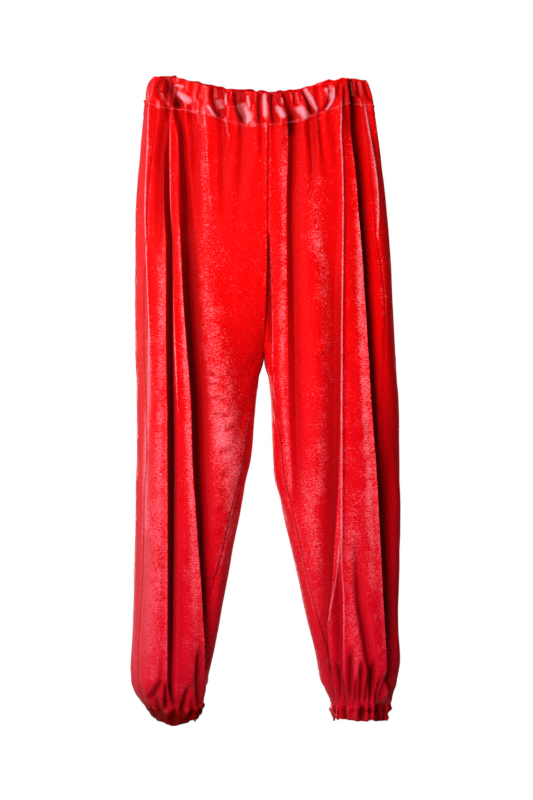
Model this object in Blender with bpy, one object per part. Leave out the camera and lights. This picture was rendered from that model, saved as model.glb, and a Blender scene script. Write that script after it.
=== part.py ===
"""Velvet lounge trousers with a gathered elastic waist and balloon legs drawn in at the ankles.

They hang empty, as clips at the two ends of the waistband hold them. Seven pieces are cut and sewn:
two fronts, two backs, the waistband casing and the two ankle casings. Each is a closed wall of cloth,
and each front and back is an upper and a lower wall that meet edge to edge above the knee.

Frame: +Z up, the wearer's front faces -Y and the wearer's left is on +X. The origin is the middle of
the waist opening. Sizes are in millimetres here and become metres where a mesh is made.
A "level" numbers the rings of cloth from the waist down. A "drop" is a real distance below the
origin, so z = -drop. The two differ where a ring sags at the waist or tilts at an ankle.
"""

import bpy
import numpy as np

MM = 0.001

# Cloth and seams
CLOTH_WALL = 1.5
CASING_WALL = 2.6
SEAM_GAP = 0.3

# Levels
WAIST_LEVEL = 7.0
SEAM_LEVEL = 60.0
SAG_REACH = 150.0
RISE_CURVE_LEVEL = 235.0
CROTCH_LEVEL = 424.0
CUFF_LEVEL = 982.0
HEM_LEVEL = 1006.0
CUFF_TILT_REACH = 110.0

# How much higher the back of the waist hangs than its front
BACK_WAIST_LIFT = 19.0

# Spans of the walls. A front runs from the middle to the side in two zones, a back the other way,
# and the inner zone of each is as wide as INNER_ZONE where it faces front or back.
FRONT_SPANS = (6, 22)
BACK_SPANS = (21, 9)
INNER_ZONE = 36.0
WAIST_SPANS = 148
CUFF_SPANS = 66
CASING_ROWS = 3
FINE_STEPS = 900
BEND_WEIGHT = 22.0
TINY = 1e-9

# Gathers: how many go round one side or cuff, how deep, how far they reach, how unevenly they
# follow each other, and the share of them that shows on the wall's inner face
WAIST_GATHERS = 19
WAIST_GATHER_DEPTH = 2.6
WAIST_GATHER_REACH = 110.0
WAIST_WANDER = {"right": 1.0, "left": -0.8}
CUFF_GATHERS = 17
CUFF_GATHER_DEPTH = 1.6
CUFF_GATHER_REACH = 75.0
CUFF_WANDER = {"right": 0.8, "left": -1.0}
INNER_SHARE = {"panel": 0.7, "casing": 0.3}
CASING_PUFF = 1.6
FOLD_TAPER = 45.0

VELVET_RED = (0.80, 0.004, 0.008, 1.0)
VELVET_ROUGHNESS = 0.7

SIGN = {"right": -1.0, "left": 1.0}

# Silhouette from the front: how far the outer and inner edges of each leg lie from the middle
OUTLINE_COLUMNS = ("drop", "outer", "inner")
OUTLINE = {
    "right": (
        (-30, 183, 0),
        (-12, 186, 0),
        (24, 192, 0),
        (96, 198, 0),
        (216, 206, 0),
        (336, 206, 0),
        (424, 206, 0),
        (440, 205, 6),
        (488, 204, 12),
        (584, 203, 20),
        (632, 205, 30),
        (680, 205, 39),
        (776, 207, 58),
        (872, 211, 75),
        (924, 213, 85),
        (944, 212, 90),
        (960, 207, 94),
        (974, 198, 96),
        (986, 188, 98),
        (998, 178, 101),
        (1015, 168, 106),
    ),
    "left": (
        (-30, 166, 0),
        (-12, 169, 0),
        (24, 176, 0),
        (96, 186, 0),
        (216, 198, 0),
        (336, 206, 0),
        (424, 210, 0),
        (440, 211, 3),
        (488, 214, 10),
        (608, 217, 15),
        (656, 218, 26),
        (752, 217, 47),
        (848, 214, 69),
        (910, 217, 84),
        (944, 213, 91),
        (960, 209, 98),
        (974, 204, 105),
        (988, 200, 109),
        (1015, 197, 110),
    ),
}

# Sections: front and back depth, squareness (2 is an ellipse), side seam and inseam angles.
# Angles run round each leg from 0 at its outer edge through 90 at the front.
BODY_COLUMNS = ("drop", "front", "back", "square", "side_seam", "inseam")
BODY = (
    (-30, 42, 46, 1.62, 24, 180),
    (60, 50, 54, 1.72, 24, 180),
    (120, 60, 66, 1.95, 25, 180),
    (220, 68, 78, 2.15, 27, 180),
    (330, 72, 84, 2.30, 30, 180),
    (424, 70, 84, 2.40, 36, 180),
    (500, 66, 78, 2.35, 40, 161),
    (570, 64, 74, 2.30, 40, 147),
    (680, 62, 70, 2.25, 38, 143),
    (800, 60, 66, 2.20, 38, 141),
    (900, 60, 64, 2.15, 38, 140),
    (945, 55, 58, 2.10, 38, 140),
    (968, 45, 47, 2.05, 38, 140),
    (984, 37, 38, 2.00, 38, 140),
    (1015, 35, 36, 2.00, 38, 140),
)

# Where the seam down the middle of the body lies
MIDDLE_COLUMNS = ("drop", "x")
MIDDLE = ((-30, 6), (200, 6), (330, 4), (424, 0), (1015, 0))

# Upper edge and lower seam of the waistband as drops, by distance out from the middle (1 is the
# side). Both rise to the clipped ends and dip between them.
WAIST_COLUMNS_NAMED = ("out", "top", "seam")
WAIST = {
    "right": (
        (0.00, 7, 60),
        (0.20, 4, 58),
        (0.37, 0, 50),
        (0.52, -7, 38),
        (0.65, -14, 34),
        (0.76, -20, 31),
        (0.88, -22, 28),
        (0.96, -18, 22),
        (1.00, -10, 18),
    ),
    "left": (
        (0.00, 7, 60),
        (0.18, 6, 57),
        (0.35, 0, 49),
        (0.53, -10, 39),
        (0.70, -16, 28),
        (0.82, -18, 20),
        (0.91, -17, 23),
        (0.97, -14, 26),
        (1.00, -7, 27),
    ),
}

# Each ankle casing: how much lower it hangs than its level, and its front lower than its middle
CUFF = {
    "right": {"lower": -7.0, "front_lower": 12.0},
    "left": {"lower": 0.0, "front_lower": -1.5},
}

# Folds, a row each: a trough has a positive depth and a ridge a negative one. A fold runs between
# two levels, with its place and depth at its start, middle and end. Its flank towards the outside
# of the leg and its flank towards the inside have their own widths.
FOLD_COLUMNS = (
    "side", "face", "start", "end", "x1", "x2", "x3", "deep1", "deep2", "deep3", "outside", "inside",
)
FOLDS = (
    ("right", "front", -60, 135, -160, -162, -168, 9, 10, 5, 8, 8),
    ("right", "front", 60, 300, -168, -168, -166, 5, 8, 0, 8, 8),
    ("right", "front", 20, 985, -152, -148, -149, 4, 21, 7, 8, 15),
    ("right", "front", 0, 920, -147, -114, -88, 8, 19, 2, 9, 17),
    ("right", "front", 30, 420, -178, -176, -174, -3, -4, -2, 6, 6),
    ("right", "front", 60, 920, -158, -163, -166, 0, -5, -4, 12, 8),
    ("right", "front", 20, 320, -122, -112, -100, 5, 4, 0, 9, 12),
    ("right", "front", -40, 240, -75, -72, -70, 4, 4, 0, 8, 8),
    ("right", "front", -40, 240, -37, -36, -44, 4, 4, 0, 7, 7),
    ("right", "front", 240, 620, -92, -78, -58, 0, -3, 0, 20, 22),
    ("right", "back", -60, 135, -160, -161, -165, 9, 10, 5, 8, 8),
    ("right", "back", 20, 975, -158, -160, -158, 6, 18, 6, 12, 9),
    ("right", "back", 0, 900, -128, -118, -112, 6, 16, 3, 14, 10),
    ("right", "back", 20, 700, -80, -66, -72, 5, 9, 0, 10, 12),
    ("right", "back", -40, 300, -36, -34, -34, 4, 4, 0, 9, 9),
    ("left", "front", -60, 120, 146, 147, 150, 9, 10, 6, 8, 8),
    ("left", "front", 0, 985, 146, 179, 199, 9, 22, 10, 17, 8),
    ("left", "front", 30, 200, 157, 159, 164, 6, 6, 0, 7, 6),
    ("left", "front", 10, 660, 41, 40, 47, 9, 10, 0, 11, 8),
    ("left", "front", 20, 190, 80, 82, 84, 5, 5, 0, 7, 7),
    ("left", "front", 300, 900, 119, 108, 96, 0, 11, 0, 8, 10),
    ("left", "front", 760, 990, 122, 119, 118, 0, 7, 4, 7, 8),
    ("left", "front", 700, 985, 146, 155, 174, 0, 9, 4, 8, 8),
    ("left", "front", 60, 920, 124, 123, 122, -3, -4, -3, 7, 6),
    ("left", "front", 60, 520, 181, 186, 192, -2, -3, -2, 6, 6),
    ("left", "back", -60, 120, 146, 147, 150, 9, 10, 6, 8, 8),
    ("left", "back", 20, 975, 150, 164, 172, 6, 19, 6, 13, 9),
    ("left", "back", 0, 890, 116, 114, 120, 6, 14, 3, 12, 12),
    ("left", "back", 20, 640, 70, 62, 66, 5, 9, 0, 12, 10),
    ("left", "back", -40, 280, 30, 30, 32, 4, 4, 0, 9, 9),
)

# Levels of the rows of the four leg panels, and the one where the upper and lower walls meet
PANEL_LEVELS = (
    60, 82, 120, 172, 235, 300, 350, 386, 408, 419, 424, 440, 480,
    560, 630, 720, 810, 875, 918, 946, 966, 982,
)
KNEE_LEVEL = 560


def along(xs, ys, at):
    """A smooth curve through a table's values that never swings past them, read at some places."""
    xs, ys = np.asarray(xs, float), np.asarray(ys, float)
    steps = np.diff(xs)
    slopes = np.diff(ys) / steps
    both = slopes[1:] * slopes[:-1]
    total = np.where(both > 0, slopes[1:] + slopes[:-1], 1.0)
    tangents = np.concatenate([slopes[:1], np.where(both > 0, 2 * both / total, 0.0), slopes[-1:]])
    at = np.clip(at, xs[0], xs[-1])
    i = np.clip(np.searchsorted(xs, at) - 1, 0, len(xs) - 2)
    t = (at - xs[i]) / steps[i]
    start = (1 + 2 * t) * (1 - t) ** 2 * ys[i] + t * (1 - t) ** 2 * steps[i] * tangents[i]
    end = t * t * (3 - 2 * t) * ys[i + 1] + t * t * (t - 1) * steps[i] * tangents[i + 1]
    return start + end


def read(columns, table, name, at):
    """One named column of a table, read smoothly at places along its first column."""
    index = columns.index(name)
    return along([row[0] for row in table], [row[index] for row in table], at)


def ease(t):
    """0 to 1 with level ends."""
    t = np.clip(t, 0, 1)
    return t * t * (3 - 2 * t)


def signed_power(value, power):
    return np.sign(value) * np.abs(value) ** power


def section_power(drop):
    """The power of cosine and sine that gives a section its squareness."""
    return 2 / read(BODY_COLUMNS, BODY, "square", drop)


def rise_cosine(drop):
    """Cosine, with its sign turned, of the angle at which the middle seam lies: 1 at the crotch."""
    return np.clip((drop - RISE_CURVE_LEVEL) / (CROTCH_LEVEL - RISE_CURVE_LEVEL), 0, 1)


def section_size(side, drop):
    """Centre and half width of a section, on the leg's own side of the body."""
    outer = read(OUTLINE_COLUMNS, OUTLINE[side], "outer", drop)
    inner = read(OUTLINE_COLUMNS, OUTLINE[side], "inner", drop)
    middle = SIGN[side] * read(MIDDLE_COLUMNS, MIDDLE, "x", drop)
    inward = rise_cosine(drop) ** section_power(drop)
    half = np.where(drop < CROTCH_LEVEL, (outer - middle) / (1 + inward), (outer - inner) / 2)
    return outer - half, half


def section(side, drop, angle):
    """Plan of the outer surface before folds, at angles in radians."""
    centre, half = section_size(side, drop)
    power = section_power(drop)
    depth = np.where(
        np.sin(angle) > 0,
        read(BODY_COLUMNS, BODY, "front", drop),
        read(BODY_COLUMNS, BODY, "back", drop),
    )
    out = centre + half * signed_power(np.cos(angle), power) + SEAM_GAP / 2
    return SIGN[side] * out, -depth * signed_power(np.sin(angle), power)


def fold_angle(side, face, x, drop):
    """The angle at which a section has this x on its front or back."""
    centre, half = section_size(side, drop)
    reach = np.clip((SIGN[side] * x - centre) / half, -1, 1)
    angle = np.arccos(signed_power(reach, 1 / section_power(drop)))
    return angle if face == "front" else -angle


def drop_at(side, level, angle):
    """Real drop of each point of a ring: it sags at the waist and tilts at the ankle."""
    out = np.abs(np.cos(angle)) ** section_power(level)
    top = read(WAIST_COLUMNS_NAMED, WAIST[side], "top", out)
    seam = read(WAIST_COLUMNS_NAMED, WAIST[side], "seam", out)
    lift = BACK_WAIST_LIFT * (1 - out**2) * (np.sin(angle) < 0)
    down_band = np.clip((level - WAIST_LEVEL) / (SEAM_LEVEL - WAIST_LEVEL), 0, 1)
    band = top + (seam - top) * down_band - lift
    sag = (seam - SEAM_LEVEL - lift) * (1 - ease((level - SEAM_LEVEL) / SAG_REACH))
    tilt = CUFF[side]["lower"] + CUFF[side]["front_lower"] * np.sin(angle)
    leg = level + sag + tilt * ease(1 - (CUFF_LEVEL - level) / CUFF_TILT_REACH)
    return np.where(level < SEAM_LEVEL, band, leg)


def ring_angles(level):
    """Angles round each ring, from the middle seam or inseam in front to the one behind."""
    inseam = np.radians(read(BODY_COLUMNS, BODY, "inseam", level))
    rise = np.arccos(-rise_cosine(level))
    start = np.where(level < CROTCH_LEVEL, rise, inseam)
    end = np.where(level < CROTCH_LEVEL, -rise, inseam - 2 * np.pi)
    return start + (end - start) * np.linspace(0, 1, FINE_STEPS)[None, :]


def lengths(points):
    """Length in plan along each row of points from its first one."""
    steps = np.linalg.norm(np.diff(points[..., :2], axis=1), axis=2)
    return np.concatenate([np.zeros((len(points), 1)), np.cumsum(steps, axis=1)], axis=1)


def fold_height(side, level, angle, arc):
    """How far all folds move each point of the rings outwards. arc is the length along a ring."""
    moved = np.zeros_like(arc)
    whole = arc[:, -1:]
    for row in FOLDS:
        fold = dict(zip(FOLD_COLUMNS, row))
        if fold["side"] != side:
            continue
        stops = (fold["start"], (fold["start"] + fold["end"]) / 2, fold["end"])
        x = along(stops, (fold["x1"], fold["x2"], fold["x3"]), level)
        depth = along(stops, (fold["deep1"], fold["deep2"], fold["deep3"]), level)
        depth = depth * ease((level - fold["start"]) / FOLD_TAPER)
        depth = depth * ease((fold["end"] - level) / FOLD_TAPER)
        at_angle = fold_angle(side, fold["face"], x, level)
        at_angle = np.where(at_angle > angle[:, :1], at_angle - 2 * np.pi, at_angle)
        place = [np.interp(-at_angle[i, 0], -angle[i], arc[i]) for i in range(len(arc))]
        away = arc - np.array(place)[:, None]
        round_leg = (away + whole / 2) % whole - whole / 2
        away = np.where(level >= CROTCH_LEVEL, round_leg, away)
        towards_outside = away > 0 if fold["face"] == "front" else away < 0
        width = np.where(towards_outside, fold["outside"], fold["inside"])
        moved -= depth * np.exp(-((away / width) ** 2))
    return moved


def gathers(arc, count, depth, wander):
    """Uneven gathers round a ring: their spacing and their depth both wander."""
    turn = 2 * np.pi * arc / arc[:, -1:]
    phase = count * turn + wander * (0.9 * np.sin(3 * turn) + 0.6 * np.sin(7 * turn))
    return depth * (0.75 + 0.25 * np.cos(5 * turn)) * np.cos(phase)


def gather_height(side, level, arc):
    """Gathers of the elastic waist and of the elastic ankle, which fade along the leg."""
    at_waist = 1 - ease((level - SEAM_LEVEL) / WAIST_GATHER_REACH)
    at_cuff = ease(1 - (CUFF_LEVEL - level) / CUFF_GATHER_REACH)
    waist = gathers(arc, WAIST_GATHERS, WAIST_GATHER_DEPTH, WAIST_WANDER[side])
    cuff = gathers(arc, CUFF_GATHERS, CUFF_GATHER_DEPTH, CUFF_WANDER[side])
    return at_waist * waist + at_cuff * cuff


def moved_out(side, points, height):
    """Rings moved along their own outward directions in plan."""
    along_ring = np.gradient(points[..., :2], axis=1)
    along_ring /= np.linalg.norm(along_ring, axis=2, keepdims=True)
    moved = points.copy()
    moved[..., 0] += SIGN[side] * height * along_ring[..., 1]
    moved[..., 1] -= SIGN[side] * height * along_ring[..., 0]
    return moved


def side_rings(side, levels, kind):
    """Fine rings of one side: outer and inner points, their angles and their lengths."""
    level = np.asarray(levels, float)[:, None]
    angle = ring_angles(level)
    drop = drop_at(side, level, angle)
    x, y = section(side, drop, angle)
    base = np.stack([x, y, -drop], axis=2)
    arc = lengths(base)
    folds = fold_height(side, level, angle, arc)
    gathered = gather_height(side, level, arc)
    wall = CLOTH_WALL
    if kind == "casing":
        wall = CASING_WALL
        across = (level - level[0]) / (level[-1] - level[0])
        folds = folds + CASING_PUFF * np.sin(np.pi * across)
    outer = moved_out(side, base, folds + gathered)
    plain = moved_out(side, base, folds + INNER_SHARE[kind] * gathered)
    inner = moved_out(side, plain, -wall)
    both = np.concatenate([outer, inner], axis=2)
    keep_to_own_side(side, both, level, drop)
    return both, angle


def keep_to_own_side(side, rings, level, drop):
    """Above the crotch no cloth passes the seam down the middle."""
    edge = SIGN[side] * read(MIDDLE_COLUMNS, MIDDLE, "x", drop) + SEAM_GAP / 2
    for x in (0, 3):
        own = np.maximum(SIGN[side] * rings[..., x], edge)
        rings[..., x] = np.where(level <= CROTCH_LEVEL, SIGN[side] * own, rings[..., x])


def columns_between(rings, stops, spans):
    """Columns of points between stops along each ring, closer together where cloth bends."""
    arc = lengths(rings)
    unit = np.diff(rings[..., :2], axis=1)
    unit /= np.linalg.norm(unit, axis=2, keepdims=True) + TINY
    turning = np.zeros(arc.shape)
    turning[:, 1:-1] = np.linalg.norm(np.diff(unit, axis=1), axis=2)
    measure = arc + BEND_WEIGHT * np.cumsum(turning, axis=1)
    grid = []
    for i, ring in enumerate(rings):
        marks = np.interp([stop[i] for stop in stops], arc[i], measure[i])
        even = [np.linspace(marks[k], marks[k + 1], spans[k] + 1)[1:] for k in range(len(spans))]
        places = np.interp(np.concatenate([marks[:1], *even]), measure[i], arc[i])
        grid.append(np.stack([np.interp(places, arc[i], ring[:, k]) for k in range(6)], axis=1))
    return np.array(grid)


def part_rows(grid, above, below):
    """Half a seam's gap taken off a grid's top and bottom rows."""
    for k in (2, 5):
        grid[0, :, k] -= above
        grid[-1, :, k] += below
    return grid


def wall_mesh(name, grid, closed):
    """A closed wall between the outer and inner points of a grid. Rows run down."""
    rows, columns = grid.shape[:2]
    points = np.concatenate([grid[..., :3].reshape(-1, 3), grid[..., 3:].reshape(-1, 3)]) * MM
    inside = rows * columns
    spans = columns if closed else columns - 1

    def at(row, column):
        return row * columns + column % columns

    faces = []
    for row in range(rows - 1):
        for column in range(spans):
            a, b = at(row, column), at(row, column + 1)
            c, d = at(row + 1, column + 1), at(row + 1, column)
            faces.append((a, b, c, d))
            faces.append((a + inside, d + inside, c + inside, b + inside))
    for column in range(spans):
        a, b = at(0, column), at(0, column + 1)
        faces.append((a, a + inside, b + inside, b))
        a, b = at(rows - 1, column), at(rows - 1, column + 1)
        faces.append((a, b, b + inside, a + inside))
    for row in range(rows - 1 if not closed else 0):
        a, b = at(row, 0), at(row + 1, 0)
        faces.append((a, b, b + inside, a + inside))
        a, b = at(row, columns - 1), at(row + 1, columns - 1)
        faces.append((a, a + inside, b + inside, b))
    mesh = bpy.data.meshes.new(name)
    mesh.from_pydata(points.tolist(), [], faces)
    mesh.update()
    return mesh


def faces_inwards(mesh):
    """Whether a closed mesh has its faces the wrong way round."""
    mesh.calc_loop_triangles()
    points = np.array([vertex.co for vertex in mesh.vertices])
    corners = points[np.array([list(triangle.vertices) for triangle in mesh.loop_triangles])]
    return np.linalg.det(corners).sum() < 0


def velvet(name):
    """The red velvet of one piece."""
    material = bpy.data.materials.new(f"velvet_{name}")
    material.use_nodes = True
    shader = material.node_tree.nodes["Principled BSDF"]
    shader.inputs["Base Color"].default_value = VELVET_RED
    shader.inputs["Roughness"].default_value = VELVET_ROUGHNESS
    shader.inputs["Metallic"].default_value = 0.0
    return material


def add_piece(name, grid, closed):
    """One sewn piece from its grid of outer and inner points."""
    mesh = wall_mesh(name, grid, closed)
    if faces_inwards(mesh):
        mesh.flip_normals()
    mesh.materials.append(velvet(name))
    mesh.shade_smooth()
    piece = bpy.data.objects.new(name, mesh)
    bpy.context.scene.collection.objects.link(piece)


def place_at(rings_angle, arc, angle):
    """Length along each ring at one angle a row."""
    return np.array([np.interp(-angle[i], -rings_angle[i], arc[i]) for i in range(len(arc))])


def add_panel(name, grid):
    """One leg panel, its upper and lower walls parted above the knee."""
    knee = PANEL_LEVELS.index(KNEE_LEVEL)
    half_gap = SEAM_GAP / 2
    add_piece(f"{name}_upper", part_rows(grid[: knee + 1].copy(), half_gap, half_gap), False)
    add_piece(f"{name}_lower", part_rows(grid[knee:].copy(), half_gap, half_gap), False)


def add_panels(side):
    """Front and back of one side, parted at the side seam and inseam."""
    level = np.asarray(PANEL_LEVELS, float)
    rings, angle = side_rings(side, PANEL_LEVELS, "panel")
    arc = lengths(rings)
    inner_zone = SIGN[side] * (read(OUTLINE_COLUMNS, OUTLINE[side], "inner", level) + INNER_ZONE)
    seam = place_at(angle, arc, np.radians(read(BODY_COLUMNS, BODY, "side_seam", level)))
    front_zone = place_at(angle, arc, fold_angle(side, "front", inner_zone, level))
    back_zone = place_at(angle, arc, fold_angle(side, "back", inner_zone, level))
    half_gap = SEAM_GAP / 2
    inseam_gap = np.where(level >= CROTCH_LEVEL, half_gap, 0)
    front = columns_between(rings, (inseam_gap, front_zone, seam - half_gap), FRONT_SPANS)
    back = columns_between(rings, (seam + half_gap, back_zone, arc[:, -1] - inseam_gap), BACK_SPANS)
    add_panel(f"front_{side}", front)
    add_panel(f"back_{side}", back)


def add_cuff(side):
    """Ankle casing of one leg, a closed ring."""
    levels = np.linspace(CUFF_LEVEL, HEM_LEVEL, CASING_ROWS + 1)
    rings, _ = side_rings(side, levels, "casing")
    arc = lengths(rings)
    grid = columns_between(rings, (0 * arc[:, -1], arc[:, -1]), (CUFF_SPANS,))[:, :-1]
    add_piece(f"cuff_{side}", part_rows(grid, SEAM_GAP / 2, 0), True)


def add_waistband():
    """Waistband casing, one ring of both sides: front middle, right side, back, left side."""
    levels = np.linspace(WAIST_LEVEL, SEAM_LEVEL - TINY, CASING_ROWS + 1)
    right, _ = side_rings("right", levels, "casing")
    left, _ = side_rings("left", levels, "casing")
    rings = np.concatenate([right, left[:, ::-1], right[:, :1]], axis=1)
    arc = lengths(rings)
    grid = columns_between(rings, (0 * arc[:, -1], arc[:, -1]), (WAIST_SPANS,))[:, :-1]
    add_piece("waistband", part_rows(grid, 0, SEAM_GAP / 2), True)


def main():
    for thing in list(bpy.data.objects):
        bpy.data.objects.remove(thing)
    add_waistband()
    for side in SIGN:
        add_panels(side)
        add_cuff(side)


main()
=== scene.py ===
"""Red velvet lounge trousers, hanging empty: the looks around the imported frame.

Each sewn piece is a thin shell of cloth on the form of its own solid, with finer folds, gathers,
creases and seams. Sizes here are in millimetres and become metres where a mesh is made. Levels
number the rings of cloth from the waist down, and drops are real distances below the origin.
"""

import math

import bpy
import numpy as np
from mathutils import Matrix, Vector


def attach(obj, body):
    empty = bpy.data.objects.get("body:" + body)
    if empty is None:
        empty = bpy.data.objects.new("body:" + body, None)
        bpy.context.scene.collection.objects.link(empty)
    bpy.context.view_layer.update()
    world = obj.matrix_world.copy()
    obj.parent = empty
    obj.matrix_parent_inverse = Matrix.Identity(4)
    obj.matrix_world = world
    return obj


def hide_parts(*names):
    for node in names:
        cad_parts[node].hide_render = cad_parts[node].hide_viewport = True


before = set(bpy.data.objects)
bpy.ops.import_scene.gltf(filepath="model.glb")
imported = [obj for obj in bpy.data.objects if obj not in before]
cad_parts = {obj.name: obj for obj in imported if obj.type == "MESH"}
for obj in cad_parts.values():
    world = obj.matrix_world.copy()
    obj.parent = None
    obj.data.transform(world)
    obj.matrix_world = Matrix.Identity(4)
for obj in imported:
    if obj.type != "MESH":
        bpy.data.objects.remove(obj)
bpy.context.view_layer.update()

MM = 0.001
TINY = 1e-9
SIGN = {"right": -1.0, "left": 1.0}

# Levels and sizes that the solids have too
WAIST_LEVEL = 7.0
SEAM_LEVEL = 60.0
SAG_REACH = 150.0
RISE_CURVE_LEVEL = 235.0
CROTCH_LEVEL = 424.0
CUFF_LEVEL = 982.0
HEM_LEVEL = 1006.0
CUFF_TILT_REACH = 110.0
BACK_WAIST_LIFT = 13.0
INNER_ZONE = 36.0
WAIST_GATHERS = 19
WAIST_GATHER_DEPTH = 2.6
WAIST_GATHER_REACH = 110.0
WAIST_WANDER = {"right": 1.0, "left": -0.8}
CUFF_GATHERS = 17
CUFF_GATHER_DEPTH = 1.6
CUFF_GATHER_REACH = 75.0
CUFF_WANDER = {"right": 0.8, "left": -1.0}
CASING_PUFF = 1.6
FOLD_TAPER = 45.0

# The shells' own sizes, and those of the shade and sheen painted into their colour
CLOTH = 1.1
CASING = 2.2
CRISP = 0.6
CRISP_REACH = 1.7
CRISP_LEAN = 6.0
CRISP_POWER = 1.25
ROLL = 0.10
CREASE_END = 0.3
NOISE_SIZE = 64
MIDDLE_PULL = 9.0
CLOSE_REACH = 40.0
SHADE_DEPTH = 18.0
SHADE_RUN = 0.82
CREST_HEIGHT = 3.0
CREST_WIDTH = 1.3
RIDGE_SHEEN = 1.1
EDGE_SHEEN = 0.32
EDGE_SHEEN_WIDTH = 5.0
DEEPEST_CREASE = 8.0
SHARP_RIM = 55.0
RIDGE_LIMIT = 9.0
STITCH_PITCH = 3.6
STITCH_LENGTH = 2.6
STITCH_RADIUS = 0.42
STITCH_RISE = 0.15
STITCH_SIDES = 5
STITCH_ROW = 2
CREASE_SHEEN = {True: 1.5, False: 0.8}
CREASE_SHADE_WIDTH = 1.3
TOP_REACH = 0.25
SOFT_SHADE = 0.6
TOP_RUFFLE = 1.6
HEM_RUFFLE = 3.8
CUFF_CRUMPLE = 1.3
BAND_GATHERS = 0.5
GATHER_SHADE = 0.8
GATHER_SHADE_DEPTH = 2.5
UNDER_SHADE = {"right": 0.9, "left": 0.2}
ANKLE_SHADE = {"right": 0.4, "left": 0.1}
ANKLE_LEVEL = 950.0
FREE_SHARE = 0.35
UNDERLAP = 3.0
END_SINK = 2.6
SEAM_SINK = 1.3
SOFT_STEPS = 6
SEAM_WIDTH = 2.2
SEAM_LINE = 1.2
SEAM_BESIDE = 2.6
SEAM_SHADE = 0.4
SEAM_SHEEN = 0.25
FINE_STEPS = 1500
FRONT_SPANS = (26, 114)
BACK_SPANS = (100, 40)
BEND_WEIGHT = 14.0
ROW_STEP = 3.6
WAIST_SPANS = 1000
WAIST_ROWS = 26
CUFF_SPANS = 420
CUFF_ROWS = 14

OUTLINE_COLUMNS = ("drop", "outer", "inner")
OUTLINE = {
    "right": (
        (-30, 183, 0),
        (-12, 186, 0),
        (24, 192, 0),
        (96, 198, 0),
        (216, 206, 0),
        (336, 206, 0),
        (424, 206, 0),
        (440, 205, 6),
        (488, 204, 12),
        (584, 203, 20),
        (632, 205, 30),
        (680, 205, 39),
        (776, 207, 58),
        (872, 211, 75),
        (924, 213, 85),
        (944, 212, 90),
        (960, 207, 94),
        (974, 198, 96),
        (986, 188, 98),
        (998, 178, 101),
        (1015, 168, 106),
    ),
    "left": (
        (-30, 166, 0),
        (-12, 169, 0),
        (24, 176, 0),
        (96, 186, 0),
        (216, 198, 0),
        (336, 206, 0),
        (424, 210, 0),
        (440, 211, 3),
        (488, 214, 10),
        (608, 217, 15),
        (656, 218, 26),
        (752, 217, 47),
        (848, 214, 69),
        (910, 217, 84),
        (944, 213, 91),
        (960, 209, 98),
        (974, 204, 105),
        (988, 200, 109),
        (1015, 197, 110),
    ),
}
BODY_COLUMNS = ("drop", "front", "back", "square", "side_seam", "inseam")
BODY = (
    (-30, 42, 46, 1.62, 24, 180),
    (60, 50, 54, 1.72, 24, 180),
    (120, 60, 66, 1.95, 25, 180),
    (220, 68, 78, 2.15, 27, 180),
    (330, 72, 84, 2.30, 30, 180),
    (424, 70, 84, 2.40, 36, 180),
    (500, 66, 78, 2.35, 40, 161),
    (570, 64, 74, 2.30, 40, 147),
    (680, 62, 70, 2.25, 38, 143),
    (800, 60, 66, 2.20, 38, 141),
    (900, 60, 64, 2.15, 38, 140),
    (945, 55, 58, 2.10, 38, 140),
    (968, 45, 47, 2.05, 38, 140),
    (984, 37, 38, 2.00, 38, 140),
    (1015, 35, 36, 2.00, 38, 140),
)
MIDDLE_COLUMNS = ("drop", "x")
MIDDLE = ((-30, 6), (200, 6), (330, 4), (424, 0), (1015, 0))
WAIST_COLUMNS_NAMED = ("out", "top", "seam")
WAIST = {
    "right": (
        (0.00, 10, 65),
        (0.20, 7, 63),
        (0.37, 3, 54),
        (0.52, -4, 43),
        (0.65, -11, 39),
        (0.76, -17, 36),
        (0.88, -21, 32),
        (0.96, -18, 24),
        (1.00, -10, 18),
    ),
    "left": (
        (0.00, 10, 65),
        (0.18, 9, 60),
        (0.35, 3, 52),
        (0.53, -7, 42),
        (0.70, -14, 31),
        (0.82, -17, 25),
        (0.91, -16, 28),
        (0.97, -14, 28),
        (1.00, -7, 27),
    ),
}
CUFF = {
    "right": {"lower": -7.0, "front_lower": 12.0},
    "left": {"lower": 0.0, "front_lower": -1.5},
}

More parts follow.
